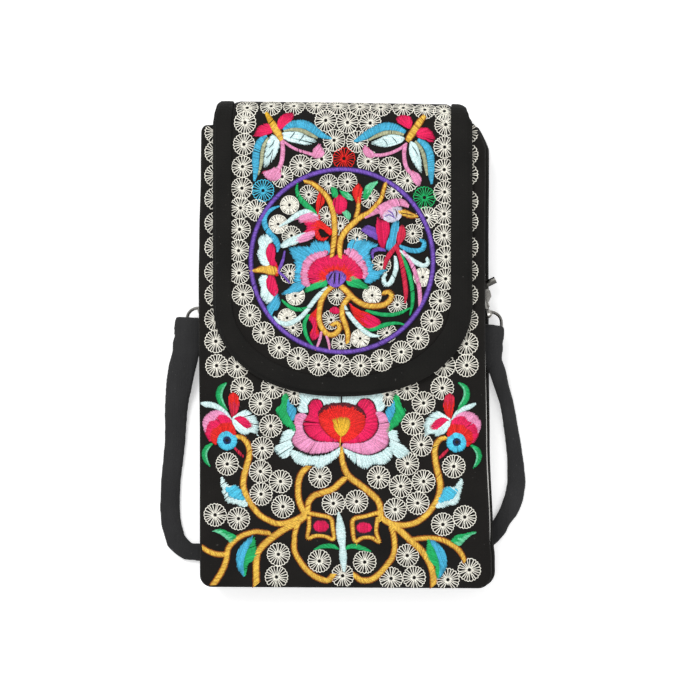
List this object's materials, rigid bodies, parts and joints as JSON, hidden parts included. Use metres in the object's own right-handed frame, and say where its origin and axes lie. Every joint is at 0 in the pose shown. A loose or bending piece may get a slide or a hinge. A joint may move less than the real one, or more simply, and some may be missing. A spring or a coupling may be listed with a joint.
{
  "type": "shoulder bag",
  "caption": "Flat embroidered canvas phone pouch with a folded-over flap and a cloth shoulder strap clipped on at both sides.",
  "frame": {"origin": "on the resting surface, under the flat middle of the back, on the pouch's middle line", "axes": "+Y towards the flap's fold at the top of the pouch, +Z out of the embroidered front, +X to the right seen from the front"},
  "size_m": [0.1548, 0.2039, 0.024],
  "materials": {
    "embroidered": "matte",
    "canvas": "matte",
    "backing": "matte",
    "strap": "soft sheen",
    "nickel": "polished"
  },
  "bodies": {
    "pouch": {"back_panel": "canvas", "front_panel": "embroidered", "seam_backing": "backing", "gusset": "canvas", "flap_panel": "embroidered", "flap_border": "canvas", "strap": "strap", "tab_left": "canvas", "tab_right": "canvas", "hook_left": "nickel", "hook_right": "nickel", "eye_left": "nickel", "eye_right": "nickel"},
    "lever_left": {"lever_left": "nickel"},
    "lever_right": {"lever_right": "nickel"}
  },
  "joints": [
    {"name": "lever_left_hinge", "type": "hinge", "parent": "pouch", "child": "lever_left", "pos_m": [-0.05522, 0.02064, 0.00746], "axis": [-0.0092, -0.0198, 0.9998], "range_deg": [0, 28], "stiffness_Nm_per_rad": 0.01, "springref_deg": -17.19},
    {"name": "lever_right_hinge", "type": "hinge", "parent": "pouch", "child": "lever_right", "pos_m": [0.05952, 0.02126, 0.00746], "axis": [0.006, -0.021, 0.9998], "range_deg": [0, 28], "stiffness_Nm_per_rad": 0.01, "springref_deg": -17.19}
  ]
}
